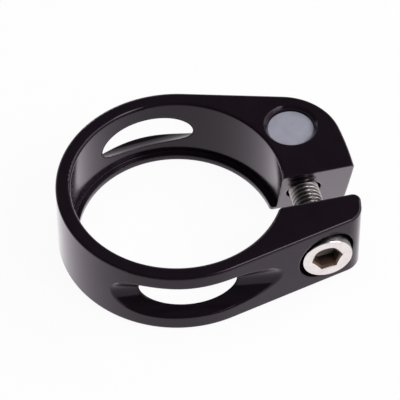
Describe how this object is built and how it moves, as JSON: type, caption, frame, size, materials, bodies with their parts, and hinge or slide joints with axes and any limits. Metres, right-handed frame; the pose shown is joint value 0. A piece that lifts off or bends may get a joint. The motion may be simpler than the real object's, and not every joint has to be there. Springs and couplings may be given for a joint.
{
  "type": "seatpost clamp",
  "caption": "Round clamp collar with an inner lip, side windows and a split lug closed by a socket head bolt through a barrel nut, to grip a seat tube on its post.",
  "frame": {"origin": "on the bore axis, half way up the collar, at the height of the bolt", "axes": "+Z along the bore axis, away from the lip; +X from the bore towards the lug; the bolt lies along Y with its head at -Y"},
  "size_m": [0.0493, 0.0398, 0.0132],
  "materials": {
    "collar": "black, satin to gloss",
    "barrel_nut": "plain, matt",
    "bolt": "bright"
  },
  "bodies": {
    "collar": {"collar": "collar"},
    "barrel_nut": {"barrel_nut": "barrel_nut"},
    "bolt": {"bolt": "bolt"}
  },
  "joints": [
    {"name": "nut_swivel", "type": "hinge", "parent": "collar", "child": "barrel_nut", "pos_m": [0.02145, 0.00787, 0], "axis": [0, 0, 1], "range_deg": [-0.6, 0.6]},
    {"name": "bolt_turn", "type": "hinge", "parent": "barrel_nut", "child": "bolt", "pos_m": [0.02145, 0.00787, 0], "axis": [0, 1, 0], "continuous": true}
  ]
}
